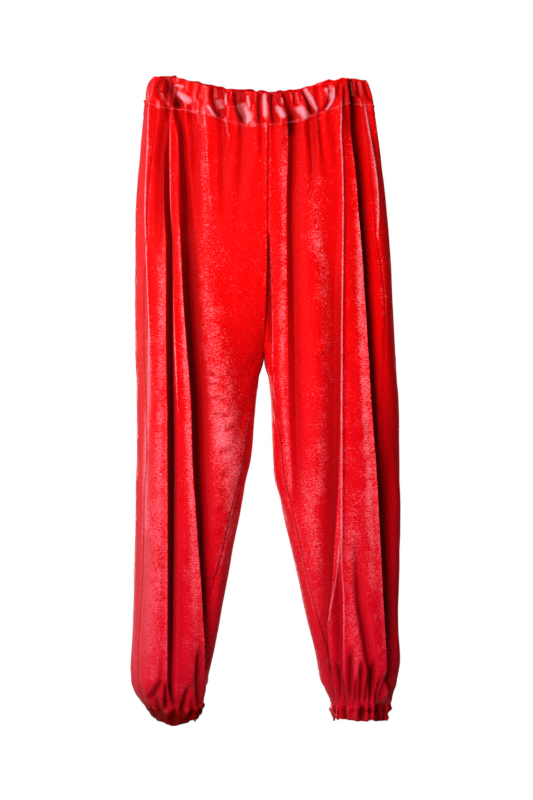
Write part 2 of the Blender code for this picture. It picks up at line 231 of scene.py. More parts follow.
# Folds. Each has the widths of its flanks towards the outside and the inside of the leg, and a path
# of stops: level, x, depth. A trough's depth is positive and a ridge's negative. Where one flank is
# much the steeper it is crisp, as where cloth lies over itself.
FOLDS = {
    ("right", "front"): (
        (8, 8, ((-40, -160, 9), (30, -161, 10), (90, -166, 8), (130, -168, 5))),
        (7, 8, ((55, -163, 6), (110, -170, 9), (160, -168, 8), (290, -166, 0))),
        (3, 6, ((20, -165, 4), (96, -164, 9), (176, -161, 13), (256, -156, 15), (420, -155, 17),
                (560, -153, 18), (800, -153, 18), (950, -154, 13), (985, -156, 4))),
        (3, 9, ((0, -152, 6), (60, -148, 10), (100, -141, 13), (176, -134, 12), (250, -130, 0))),
        (5, 20, ((110, -140, 0), (176, -134, 9), (256, -129, 15),
                 (336, -125, 17), (424, -118.5, 18), (500, -113, 18), (600, -110, 18), (700, -103.5, 18),
                 (800, -97, 18), (900, -93, 13), (960, -92, 3))),
        (4, 5, ((40, -155, 0), (66, -153.6, -3), (166, -149, -4), (318, -144, -4), (440, -139, -3),
                (560, -134, 0))),
        (3, 4, ((30, -184, -3), (180, -187, -4), (290, -184, -4), (400, -180, -3), (520, -178, 0))),
        (16, 12, ((360, -172, 0), (480, -172, -4), (700, -170, -6), (920, -168, -5))),
        (5, 15, ((20, -126, 5), (120, -120, 6), (220, -112, 3), (320, -100, 0))),
        (6, 6, ((40, -98, 0), (66, -96, -1.5), (150, -88, -1.2), (260, -78, 0))),
        (5, 10, ((-40, -75, 4), (90, -73, 5), (240, -70, 0))),
        (7, 7, ((-40, -37, 4), (90, -36, 5), (240, -44, 0))),
        (24, 24, ((220, -104, 0), (340, -86, -7), (440, -70, -9), (560, -56, -8), (680, -50, 0))),
        (4, 6, ((880, -160, 0), (930, -163, 4), (975, -167, 5))),
    ),
    ("right", "back"): (
        (8, 8, ((-40, -160, 9), (40, -161, 10), (130, -165, 5))),
        (10, 6, ((20, -158, 6), (200, -160, 16), (500, -160, 20), (800, -158, 16), (975, -158, 4))),
        (18, 6, ((0, -128, 6), (200, -124, 14), (450, -118, 18), (700, -114, 14), (900, -112, 3))),
        (5, 16, ((20, -80, 6), (200, -70, 10), (420, -66, 10), (700, -72, 0))),
        (9, 9, ((-40, -36, 4), (130, -34, 5), (300, -34, 0))),
        (6, 6, ((40, -100, 0), (120, -97, -3), (320, -92, -3), (480, -90, 0))),
        (5, 5, ((120, -176, 0), (240, -178, -3), (520, -178, -3), (800, -180, 0))),
        (5, 9, ((640, -90, 0), (760, -100, 6), (880, -112, 8), (975, -122, 5))),
        (4, 4, ((880, -130, 0), (940, -130, 4), (978, -131, 4))),
    ),
    ("left", "front"): (
        (8, 8, ((-40, 146, 9), (30, 147, 10), (80, 147, 9), (120, 150, 6))),
        (18, 5, ((0, 146, 9), (90, 146, 15), (176, 150, 20), (256, 156, 22), (336, 161, 24),
                 (416, 166, 25), (496, 171, 25), (576, 177, 25), (656, 182, 24), (736, 186, 22),
                 (816, 190, 20), (896, 195, 17), (985, 198, 6))),
        (6, 5, ((30, 155, 5), (80, 157, 7), (120, 160, 6), (200, 166, 0))),
        (5, 5, ((30, 164, -3), (80, 170, -3), (180, 181, -3), (270, 182, 0))),
        (14, 5, ((10, 41, 9), (110, 40, 11), (176, 38, 10), (480, 41, 8), (620, 46, 4), (700, 48, 0))),
        (10, 10, ((180, 22, 0), (260, 22, -3), (480, 24, -2), (560, 26, 0))),
        (5, 7, ((200, 4, 0), (260, 7, 7), (340, 8, 11), (400, 8, 9), (440, 10, 0))),
        (5, 10, ((20, 81, 6), (90, 83, 6), (190, 84, 0))),
        (5, 18, ((230, 119, 0), (336, 119, 7), (480, 118.5, 9), (576, 117, 10), (656, 114, 11),
                 (752, 108, 10), (900, 100, 7), (960, 100, 0))),
        (4, 5, ((30, 126, -3), (176, 124.5, -4), (400, 122.4, -4), (750, 122.4, -4), (820, 126, -3),
                (960, 126, 0))),
        (6, 8, ((700, 122, 0), (806, 119, 8), (880, 117.5, 10), (975, 119, 5))),
        (4, 5, ((700, 120, 0), (740, 118, -3), (915, 96, -3), (950, 96, 0))),
        (9, 6, ((690, 146, 0), (800, 150, 8), (880, 162, 11), (950, 173, 9), (985, 176, 3))),
        (4, 4, ((700, 190, 0), (760, 196, -4), (820, 203, -4), (860, 208, 0))),
        (18, 20, ((170, 74, 0), (260, 80, -3), (400, 84, -4), (520, 86, -3), (640, 84, 0))),
    ),
    ("left", "back"): (
        (8, 8, ((-40, 146, 9), (40, 147, 10), (120, 150, 6))),
        (6, 12, ((20, 150, 6), (200, 154, 15), (480, 164, 21), (800, 170, 16), (975, 172, 4))),
        (6, 18, ((0, 116, 6), (200, 114, 13), (450, 114, 16), (700, 118, 12), (890, 120, 3))),
        (16, 5, ((20, 70, 6), (200, 62, 10), (420, 62, 10), (640, 66, 0))),
        (9, 9, ((-40, 30, 4), (130, 30, 5), (280, 32, 0))),
        (6, 6, ((60, 92, 0), (160, 90, -3), (360, 88, -3), (520, 88, 0))),
        (5, 5, ((160, 186, 0), (300, 190, -3), (600, 194, -3), (800, 196, 0))),
        (9, 5, ((660, 98, 0), (770, 106, 6), (880, 128, 8), (975, 140, 5))),
        (4, 4, ((880, 148, 0), (940, 148, 4), (978, 148, 4))),
    ),
}

# Painted sheen: soft pink bands painted into the colour where the cloth catches light, with widths
# towards the outside and the inside of the leg, and a path of stops: level, x, strength. Where the
# strength is negative, the band is painted shade instead.
PAINTED_SHEEN_BANDS = {
    ("right", "front"): (
        (9, 3, ((60, -205, 0), (120, -204, 0.3), (420, -205, 0.45), (900, -205, 0.4), (960, -205, 0))),
        (7, 7, ((240, -163, 0.2), (330, -162, 0.5), (560, -164, 0.5), (700, -164, 0.3), (960, -166, 0))),
        (6, 8, ((360, -180, 0.1), (480, -181, 0.7), (600, -188, 0.6), (700, -186, 0.3))),
        (16, 20, ((600, -182, 0.1), (720, -182, 0.3), (840, -180, 0.35), (940, -178, 0.2))),
        (14, 34, ((180, -116, 0), (250, -114, 0.42), (336, -106, 0.5), (424, -92, 0.55), (500, -76, 0.6),
                  (560, -64, 0.6), (660, -52, 0.4), (760, -60, 0.1))),
        (5, 5, ((220, -132, 0.2), (500, -122, 0.45), (740, -112, 0.45), (900, -106, 0.2))),
        (7, 7, ((60, -104, 0.3), (130, -98, 0.45), (200, -94, 0.3), (240, -92, 0))),
        (12, 12, ((480, -86, 0), (560, -80, 0.3), (640, -78, 0.2), (720, -84, 0))),
        (8, 14, ((440, -108, 0), (520, -102, -0.3), (600, -96, -0.5), (760, -88, -0.5), (900, -86, -0.2))),
        (4, 12, ((440, -147, 0), (520, -145, -0.3), (700, -143, -0.4), (940, -142, -0.3))),
    ),
    ("right", "back"): (
        (9, 3, ((60, -205, 0), (120, -204, 0.7), (420, -205, 0.9), (900, -205, 0.7), (960, -205, 0))),
        (12, 12, ((200, -142, 0.2), (420, -140, 0.6), (700, -136, 0.6), (900, -134, 0.3))),
        (20, 16, ((160, -92, 0), (260, -90, 0.5), (440, -84, 0.6), (620, -76, 0.5), (760, -74, 0.2))),
        (8, 8, ((60, -60, 0.3), (240, -56, 0.5), (420, -50, 0.3), (520, -46, 0))),
    ),
    ("left", "front"): (
        (5, 6, ((60, 30, 0.2), (200, 30, 0.45), (420, 30, 0.5), (520, 33, 0.5), (640, 44, 0.3))),
        (3, 2, ((230, 10, 0.3), (330, 12, 0.9), (420, 14, 0.8), (470, 17, 0.3))),
        (10, 16, ((120, 80, 0.2), (240, 84, 0.42), (310, 100, 0.5), (440, 108, 0.5), (560, 102, 0.45),
                  (660, 90, 0.3))),
        (7, 6, ((200, 150, 0.3), (300, 150, 0.6), (480, 158, 0.6), (640, 166, 0.5), (800, 172, 0.3))),
        (14, 14, ((560, 56, 0), (640, 66, 0.3), (760, 88, 0.3), (860, 98, 0.1))),
        (10, 14, ((640, 138, 0), (740, 142, 0.35), (860, 146, 0.35), (940, 146, 0.1))),
        (5, 5, ((50, 168, 0.3), (120, 176, 0.3), (180, 180, 0.2), (270, 182, 0))),
        (3, 9, ((220, 196, 0), (330, 203, 0.2), (480, 208, 0.1), (600, 212, 0))),
        (14, 10, ((330, 186, 0), (430, 190, -0.3), (540, 196, -0.65), (640, 199, -0.9), (860, 203, -0.9),
                  (940, 204, -0.4))),
    ),
    ("left", "back"): (
        (9, 9, ((200, 136, 0.2), (420, 142, 0.6), (700, 148, 0.6), (900, 152, 0.3))),
        (18, 18, ((160, 88, 0), (280, 88, 0.5), (440, 88, 0.6), (640, 92, 0.5), (760, 98, 0.2))),
        (8, 8, ((60, 50, 0.3), (240, 46, 0.5), (420, 44, 0.3), (520, 44, 0))),
        (3, 9, ((220, 196, 0), (330, 203, 0.4), (480, 208, 0.4), (800, 208, 0.2))),
    ),
}

# Creases on the front and on the back, one a row: where it starts and ends, how far it bends to the
# right between them, its depth, and its widths to the left and right of a line that runs down, seen
# from the front. A negative depth is a ridge or, where it is wide, a bulge.
CREASE_COLUMNS = ("x1", "drop1", "x2", "drop2", "bend", "deep", "left", "right")
CREASES = {
    "front": (
        # Waistband, from its right end to its left end
        (-164, -17, -166, 18, -6, 6, 2.5, 4),
        (-158, -14, -160, 10, 2, 4, 2.5, 3),
        (-163, 8, -155, 32, 1, -2.5, 2.5, 2.5),
        (-152, -3, -133, 34, -5, 8, 3, 9),
        (-141, -5, -125, -1, 0, -2.5, 3, 3),
        (-138, 9, -112, 26, 0, -4, 5, 6),
        (-116, 37, -104, 42, 0, -2, 3, 3),
        (-100, -2, -106, 22, 0, 3, 3, 5),
        (-82.5, 1, -68, 54, -5, 9, 3, 10),
        (-89, 30, -74, 49, 0, -3, 2.5, 3),
        (-74, 20, -69, 38, 0, -3.5, 5, 6),
        (-66, 6, -64, 20, 0, 3, 2, 3),
        (-62, 12, -59.5, 32, 0, -3.5, 2.5, 2.5),
        (-54, 8, -56, 24, 0, 3, 2, 3),
        (-47, 11, -29, 64, -4, 9, 3, 12),
        (-40, 28, -20, 60, 0, -4.5, 8, 9),
        (-36, 10, -35, 24, 0, 3, 2, 3),
        (-26, 16, -22.5, 36, 0, -3.5, 2.5, 2.5),
        (-17, 12, -16, 28, 0, 3.5, 2, 3),
        (-7.5, 12, -5.5, 66, -2, 8, 3, 5),
        (0, 15, 2, 54, 0, -4.5, 3.5, 4),
        (7, 12, 8, 28, 0, 3, 2, 3),
        (13, 10, 18.5, 66, -3, 9, 3, 8),
        (20, 32, 34, 52, 0, -4, 5, 5),
        (22, 12, 27, 34, 0, 5, 2.5, 4),
        (28, 18, 29.5, 28, 0, -2.5, 2.5, 2.5),
        (31, 12, 42, 86, 4, 9, 3, 9),
        (37, 13, 43, 34, 0, 4, 2.5, 3),
        (48, 9, 51, 30, 0, 5, 2.5, 4),
        (57, 8, 60, 24, 0, 3, 2, 3),
        (55, 34, 74, 52, 0, -4, 7, 7),
        (62, 7, 81, 48, 0, 8, 3, 3.5),
        (66, 6, 86, 42, 0, -5, 3, 4),
        (104, 4, 86, 44, 6, 6, 3, 3),
        (110, 2, 90, 40, 7, -3.5, 2.5, 2.5),
        (100, 2, 111, 22, 0, -3, 5, 6),
        (119, -4, 117, 16, 0, 4, 2.5, 4),
        (129, 0, 127, 36, 0, 6, 2, 5),
        (139, -6, 146, 28, 0, 7, 2.5, 4),
        (142, -10, 149, 15, -1, -4, 2.5, 2.5),
        (151, -12, 156, 15, 0, 6, 2.5, 3.5),
        (163, -9, 173, 22, 0, 5, 3, 3),
        # Short puckers under the waist seam
        (-62, 50, -54, 88, 0, -2.4, 2.6, 2.6),
        (-96, 38, -93, 68, 0, -2, 2.5, 2.5),
        (-106, 36, -104, 60, 0, -1.8, 2.5, 2.5),
        (1, 58, 6, 74, 0, -2, 2.2, 2.2),
        (-38, 56, -36, 86, 0, 2, 3, 5),
        (66, 48, 68, 84, 0, 2, 3, 4),
        # Short creases across the right thigh and beside its inseam
        (-96, 452, -58, 462, 0, 3.2, 4, 3),
        (-92, 470, -52, 482, 4, 3.0, 4, 3),
        (-90, 492, -58, 500, 3, 2.8, 4, 3),
        (-84, 512, -54, 520, -4, 3.4, 5, 4),
        (-66, 548, -42, 540, 4, 2.6, 5, 5),
        (-74, 585, -46, 575, 5, 2.6, 6, 6),
        (-68, 622, -50, 614, 5, 3.0, 5, 5),
        (-70, 648, -54, 640, 4, 2.4, 5, 5),
        (-72, 674, -58, 668, 3, 2.0, 5, 5),
        (-84, 786, -66, 772, 0, 2.0, 4, 4),
        (-78, 712, -62, 706, 0, 1.6, 4, 4),
        # Tucks over the right ankle
        (-162, 936, -186, 976, 0, 8, 4, 5),
        (-155, 936, -158, 996, 0, 8, 3, 4),
        (-150, 940, -141, 990, 0, 6, 3, 5),
        (-116, 944, -134, 1000, 0, 7, 4, 4),
        (-101, 880, -106, 992, 0, 8, 4, 5),
        (-172, 960, -168, 1000, 0, 4, 3, 3),
        (-138, 984, -150, 1012, 0, 7, 4, 5),
        (-112, 990, -122, 1008, 0, 6, 4, 4),
        # Tucks over the left ankle
        (94, 850, 102, 975, 0, 5, 3, 5),
        (100, 905, 110, 986, 0, 6, 3, 4),
        (110, 900, 120, 986, 0, 6, 4, 4),
        (122, 930, 128, 986, 0, 6, 3, 4),
        (137, 880, 134, 986, 0, 8, 4, 5),
        (146, 930, 143, 986, 0, 6, 3, 4),
        (156, 900, 151, 986, 0, 8, 4, 5),
        (166, 925, 160, 986, 0, 6, 3, 4),
        (177, 900, 168, 984, 0, 8, 5, 4),
        (188, 930, 176, 984, 0, 6, 4, 4),
        (200, 920, 184, 984, 0, 6, 4, 4),
        (190, 968, 184, 1020, 0, 9, 8, 8),
        (158, 978, 152, 1016, 0, 6, 4, 4),
        (126, 978, 130, 1014, 0, 6, 4, 4),
    ),
    "back": (
        (-150, -30, -140, 20, 0, 5, 4, 6),
        (-120, -36, -104, 12, 0, 6, 4, 11),
        (-84, -34, -74, 8, 0, 4, 3, 6),
        (-58, -30, -44, 40, 0, 6, 3.5, 12),
        (-30, -28, -22, 10, 0, 4, 3, 6),
        (-8, -26, -2, 44, 0, 6, 3, 9),
        (16, -28, 24, 20, 0, 4, 3, 5),
        (34, -30, 46, 42, 0, 6, 3.5, 11),
        (66, -30, 74, 10, 0, 4, 3, 6),
        (88, -34, 104, 26, 0, 6, 4, 10),
        (124, -34, 130, 6, 0, 4, 3, 6),
        (148, -30, 140, 24, 0, 5, 4, 5),
        (-70, 24, -64, 58, 0, -2.2, 2.6, 2.6),
        (28, 34, 24, 66, 0, -2, 2.5, 2.5),
        (84, 20, 90, 50, 0, -2, 2.5, 2.5),
        (-60, 440, -30, 430, 0, 2.2, 5, 4),
        (-76, 470, -44, 462, 0, 2.0, 5, 4),
        (-80, 498, -56, 490, 0, 1.8, 4, 4),
        (30, 432, 64, 444, 0, 2.2, 5, 4),
        (44, 464, 76, 474, 0, 2.0, 5, 4),
        (54, 494, 78, 502, 0, 1.8, 4, 4),
        (-156, 934, -172, 984, 0, 5, 4, 4),
        (-140, 920, -146, 990, 0, 4, 4, 3),
        (-118, 910, -130, 990, 0, 5, 4, 4),
        (-106, 930, -116, 992, 0, 4, 3, 3),
        (112, 900, 122, 984, 0, 4, 4, 4),
        (132, 920, 134, 986, 0, 4, 3, 3),
        (152, 900, 148, 984, 0, 4, 4, 4),
        (170, 920, 162, 986, 0, 4, 3, 3),
        (190, 930, 176, 984, 0, 5, 4, 4),
    ),
}


def along(xs, ys, at):
    """A smooth curve through a table's values that never swings past them, read at some places."""
    xs, ys = np.asarray(xs, float), np.asarray(ys, float)
    steps = np.diff(xs)
    slopes = np.diff(ys) / steps
    both = slopes[1:] * slopes[:-1]
    total = np.where(both > 0, slopes[1:] + slopes[:-1], 1.0)
    tangents = np.concatenate([slopes[:1], np.where(both > 0, 2 * both / total, 0.0), slopes[-1:]])
    at = np.clip(at, xs[0], xs[-1])
    i = np.clip(np.searchsorted(xs, at) - 1, 0, len(xs) - 2)
    t = (at - xs[i]) / steps[i]
    start = (1 + 2 * t) * (1 - t) ** 2 * ys[i] + t * (1 - t) ** 2 * steps[i] * tangents[i]
    end = t * t * (3 - 2 * t) * ys[i + 1] + t * t * (t - 1) * steps[i] * tangents[i + 1]
    return start + end


def read(columns, table, name, at):
    """One named column of a table, read smoothly at places along its first column."""
    index = columns.index(name)
    return along([row[0] for row in table], [row[index] for row in table], at)


def ease(t):
    """0 to 1 with level ends."""
    t = np.clip(t, 0, 1)
    return t * t * (3 - 2 * t)


def signed_power(value, power):
    return np.sign(value) * np.abs(value) ** power


def section_power(drop):
    return 2 / read(BODY_COLUMNS, BODY, "square", drop)


def rise_cosine(drop):
    return np.clip((drop - RISE_CURVE_LEVEL) / (CROTCH_LEVEL - RISE_CURVE_LEVEL), 0, 1)


def section_size(side, drop):
    """Centre and half width of a section, on the leg's own side of the body."""
    outer = read(OUTLINE_COLUMNS, OUTLINE[side], "outer", drop)
    inner = read(OUTLINE_COLUMNS, OUTLINE[side], "inner", drop)
    middle = SIGN[side] * read(MIDDLE_COLUMNS, MIDDLE, "x", drop)
    inward = rise_cosine(drop) ** section_power(drop)
    half = np.where(drop < CROTCH_LEVEL, (outer - middle) / (1 + inward), (outer - inner) / 2)
    return outer - half, half


def section(side, drop, angle):
    """Plan of the outer surface before folds, at angles in radians."""
    centre, half = section_size(side, drop)
    power = section_power(drop)
    depth = np.where(
        np.sin(angle) > 0,
        read(BODY_COLUMNS, BODY, "front", drop),
        read(BODY_COLUMNS, BODY, "back", drop),
    )
    out = centre + half * signed_power(np.cos(angle), power)
    return SIGN[side] * out, -depth * signed_power(np.sin(angle), power)


def fold_angle(side, face, x, drop):
    """The angle at which a section has this x on its front or back."""
    centre, half = section_size(side, drop)
    reach = np.clip((SIGN[side] * x - centre) / half, -1, 1)
    angle = np.arccos(signed_power(reach, 1 / section_power(drop)))
    return angle if face == "front" else -angle


def drop_at(side, level, angle):
    """Real drop of each point of a ring: it sags at the waist and tilts at the ankle."""
    out = np.abs(np.cos(angle)) ** section_power(level)
    top = read(WAIST_COLUMNS_NAMED, WAIST[side], "top", out)
    seam = read(WAIST_COLUMNS_NAMED, WAIST[side], "seam", out)
    lift = BACK_WAIST_LIFT * (1 - out**2) * (np.sin(angle) < 0)
    down_band = np.clip((level - WAIST_LEVEL) / (SEAM_LEVEL - WAIST_LEVEL), 0, 1)
    band = top + (seam - top) * down_band - lift
    sag = (seam - SEAM_LEVEL - lift) * (1 - ease((level - SEAM_LEVEL) / SAG_REACH))
    tilt = CUFF[side]["lower"] + CUFF[side]["front_lower"] * np.sin(angle)
    leg = level + sag + tilt * ease(1 - (CUFF_LEVEL - level) / CUFF_TILT_REACH)
    return np.where(level < SEAM_LEVEL, band, leg)


def ring_angles(level):
    """Angles round each ring, from the middle seam or inseam in front to the one behind."""
    inseam = np.radians(read(BODY_COLUMNS, BODY, "inseam", level))
    rise = np.arccos(-rise_cosine(level))
    start = np.where(level < CROTCH_LEVEL, rise, inseam)
    end = np.where(level < CROTCH_LEVEL, -rise, inseam - 2 * np.pi)
    return start + (end - start) * np.linspace(0, 1, FINE_STEPS)[None, :]


def lengths(points):
    """Length in plan along each row of points from its first one."""
    steps = np.linalg.norm(np.diff(points[..., :2], axis=1), axis=2)
    return np.concatenate([np.zeros((len(points), 1)), np.cumsum(steps, axis=1)], axis=1)


def fold_height(side, level, angle, arc):
    """How far all folds move each point of the rings outwards, with the shade and the sheen painted into
    the colour by the folds and by the painted sheen bands.
    """
    moved, shade, painted_sheen = np.zeros_like(arc), np.zeros_like(arc), np.zeros_like(arc)
    whole = arc[:, -1:]
    closed = ease((level - CROTCH_LEVEL) / CLOSE_REACH)
    for face in ("front", "back"):
        for outside, inside, path in FOLDS[side, face]:
            stops = [stop[0] for stop in path]
            depth = along(stops, [stop[2] for stop in path], level)
            depth = depth * ease((level - stops[0]) / FOLD_TAPER + 0.02)
            depth = depth * ease((stops[-1] - level) / FOLD_TAPER)
            away = beyond_path(side, face, path, level, angle, arc)
            lean = CRISP_LEAN * (is_crisp(outside, inside) - is_crisp(inside, outside))
            for offset, share in ((away, 1.0), (away - np.sign(away) * whole, closed)):
                out = (offset if face == "front" else -offset) + lean
                moved -= share * depth * np.where(
                    out > 0,
                    flank(np.abs(out), outside, inside),
                    flank(np.abs(out), inside, outside),
                )
                # Painted shade in the trough, and painted sheen on a ridge's crest or beside a crisp edge.
                shade = np.maximum(shade, share * trough_shade(out, depth, outside, inside))
                painted_sheen = np.maximum(painted_sheen, share * crest_sheen(out, depth, outside, inside))
        # Painted sheen bands: a positive strength paints highlight into the colour, a negative one paints
        # shade.
        for outside, inside, path in PAINTED_SHEEN_BANDS[side, face]:
            strength = along([stop[0] for stop in path], [stop[2] for stop in path], level)
            shown = (level > path[0][0]) & (level < path[-1][0])
            away = beyond_path(side, face, path, level, angle, arc)
            out = away if face == "front" else -away
            band = shown * strength * np.exp(-((out / np.where(out > 0, outside, inside)) ** 2))
            painted_sheen = painted_sheen + np.maximum(band, 0)
            shade = np.maximum(shade, -band)
    return moved, shade, painted_sheen


def beyond_path(side, face, path, level, angle, arc):
    """How far each point of the rings lies from a path down one face, along the ring."""
    x = along([stop[0] for stop in path], [stop[1] for stop in path], level)
    at_angle = fold_angle(side, face, x, level)
    at_angle = np.where(at_angle > angle[:, :1], at_angle - 2 * np.pi, at_angle)
    place = [np.interp(-at_angle[i, 0], -angle[i], arc[i]) for i in range(len(arc))]
    return arc - np.array(place)[:, None]


def trough_shade(out, depth, outside, inside):
    """0 to 1, shade painted into the colour: darkest from a trough's crisp edge to its middle line, fading
    beyond it.
    """
    strength = np.clip(depth / SHADE_DEPTH, 0, 1)
    if is_crisp(outside, inside) or is_crisp(inside, outside):
        steep, gentle = min(outside, inside), max(outside, inside)
        inwards = -out if outside == steep else out
        under_edge = ease((CRISP_REACH * steep + inwards) / CREST_WIDTH)
        return strength * under_edge * np.exp(-((np.maximum(inwards, 0) / (SHADE_RUN * gentle)) ** 2))
    return strength * np.exp(-((out / np.where(out > 0, outside, inside)) ** 2))


def crest_sheen(out, depth, outside, inside):
    """0 to 1, a highlight painted into the colour as sheen on a ridge's crest, and a little beside a crisp
    edge.
    """
    ridge = RIDGE_SHEEN * np.clip(-depth / CREST_HEIGHT, 0, 1) * np.exp(-((out / CREST_WIDTH) ** 2))
    if max(outside, inside) > RIDGE_LIMIT and not (is_crisp(outside, inside) or is_crisp(inside, outside)):
        return 0 * out
    if is_crisp(outside, inside) or is_crisp(inside, outside):
        steep = min(outside, inside)
        beyond = (out if outside == steep else -out) - CRISP_REACH * steep
        beside = np.where(beyond > 0, np.exp(-((beyond / EDGE_SHEEN_WIDTH) ** 2)), 0)
        return np.maximum(ridge, EDGE_SHEEN * np.clip(depth / SHADE_DEPTH, 0, 1) * beside)
    return ridge


def is_crisp(width, other):
    """1 for a flank much steeper than the other one of its fold, else 0."""
    return int(width <= CRISP * other)


def flank(away, width, other):
    """One flank of a fold, 1 at its middle line. A much steeper one is crisp and has a rolled edge."""
    if not is_crisp(width, other):
        return np.exp(-((away / width) ** 2))
    edge = CRISP_REACH * width
    roll = ROLL * np.exp(-(((away - edge) / width) ** 2))
    return np.clip(1 - away / edge, 0, 1) ** CRISP_POWER - roll


def crease_height(base, angle, casing):
    """How far the creases move each point of the rings outwards, the shade painted along them, and their
    bulges.
    """
    early = TOP_REACH if casing else 0
    moved, painted_crease_shade, bulges = (np.zeros(base.shape[:2]) for _ in range(3))
    x, drop = base[..., 0], -base[..., 2]
    for face, rows in CREASES.items():
        towards = np.sin(angle) if face == "front" else -np.sin(angle)
        shown = ease(towards / 0.3 + 0.3)
        for row in rows:
            crease = dict(zip(CREASE_COLUMNS, row))
            run_x, run_down = crease["x2"] - crease["x1"], crease["drop2"] - crease["drop1"]
            length = math.hypot(run_x, run_down)
            across, down = x - crease["x1"], drop - crease["drop1"]
            share = (across * run_x + down * run_down) / length**2
            off = (across * run_down - down * run_x) / length
            off = off - crease["bend"] * 4 * share * (1 - share)
            width = np.where(off > 0, crease["right"], crease["left"])
            ends = ease(np.minimum(share + early, 1 - share) / CREASE_END)
            hollow = crease["deep"] * ends * shown * np.exp(-((off / width) ** 2))
            moved -= hollow
            bulges = np.maximum(bulges, -hollow)
            crease_shade_strength = ends * shown * np.clip(crease["deep"] / DEEPEST_CREASE, 0, 1)
            painted_crease_shade = np.maximum(painted_crease_shade, crease_shade_strength * np.exp(-((off / CREASE_SHADE_WIDTH) ** 2)))
            painted_crease_shade = np.maximum(painted_crease_shade, SOFT_SHADE * crease_shade_strength * np.exp(-((off / width) ** 2)))
    return moved, painted_crease_shade, bulges


def soft_noise(u, v, seed):
    """Smooth noise from -1 to 1 with a new random value at each whole u and v."""
    u, v = np.broadcast_arrays(u, v)
    i, j = np.floor(u).astype(int), np.floor(v).astype(int)
    s, t = ease(u - i), ease(v - j)
    table = np.random.default_rng(seed).uniform(-1, 1, (NOISE_SIZE, NOISE_SIZE))
    i, j = i % NOISE_SIZE, j % NOISE_SIZE
    i_next, j_next = (i + 1) % NOISE_SIZE, (j + 1) % NOISE_SIZE
    above = table[i, j] * (1 - s) + table[i_next, j] * s
    below = table[i, j_next] * (1 - s) + table[i_next, j_next] * s
    return above * (1 - t) + below * t


def casing_hand(side, arc, level):
    """The crumpled look of a casing: long soft waves on the band, small lumps on the cuffs."""
    seed = 11 if side == "right" else 23
    if level[0, 0] > CROTCH_LEVEL:
        lumps = 3.4 * soft_noise(arc / 13, level / 10, seed)
        return lumps + 1.4 * soft_noise(arc / 6, level / 6, seed + 1)
    return 1.4 * soft_noise(arc / 16, level / 70, seed) + 0.4 * soft_noise(arc / 7, level / 40, seed + 1)


def hand(side, arc, level):
    """The small unevenness of soft cloth, finer and stronger where elastic gathers it."""
    seed = 11 if side == "right" else 23
    near_waist = 1 - ease((level - SEAM_LEVEL) / 160)
    near_cuff = ease(1 - (CUFF_LEVEL - level) / 90)
    slow = 1.2 * soft_noise(arc / 22, level / 110, seed + 2)
    quick = 0.4 * soft_noise(arc / 9, level / 40, seed + 3)
    gathered = 0.8 * (near_waist + near_cuff) * soft_noise(arc / 8, level / 40, seed + 4)
    return slow + quick + gathered


def gathers(arc, count, depth, wander):
    """Uneven gathers round a ring: their spacing and their depth both wander."""
    turn = 2 * np.pi * arc / arc[:, -1:]
    phase = count * turn + wander * (0.9 * np.sin(3 * turn) + 0.6 * np.sin(7 * turn))
    return depth * (0.75 + 0.25 * np.cos(5 * turn)) * np.cos(phase)


def gather_height(side, level, arc):
    """Gathers of the elastic waist and of the elastic ankle, which fade along the leg."""
    at_waist = 1 - ease((level - SEAM_LEVEL) / WAIST_GATHER_REACH)
    at_cuff = ease(1 - (CUFF_LEVEL - level) / CUFF_GATHER_REACH)
    waist = gathers(arc, WAIST_GATHERS, WAIST_GATHER_DEPTH, WAIST_WANDER[side])
    cuff = gathers(arc, CUFF_GATHERS, CUFF_GATHER_DEPTH, CUFF_WANDER[side])
    return at_waist * waist + at_cuff * cuff


def moved_out(side, points, height):
    """Rings moved along their own outward directions in plan."""
    along_ring = np.gradient(points[..., :2], axis=1)
    along_ring /= np.linalg.norm(along_ring, axis=2, keepdims=True) + TINY
    moved = points.copy()
    moved[..., 0] += SIGN[side] * height * along_ring[..., 1]
    moved[..., 1] -= SIGN[side] * height * along_ring[..., 0]
    return moved


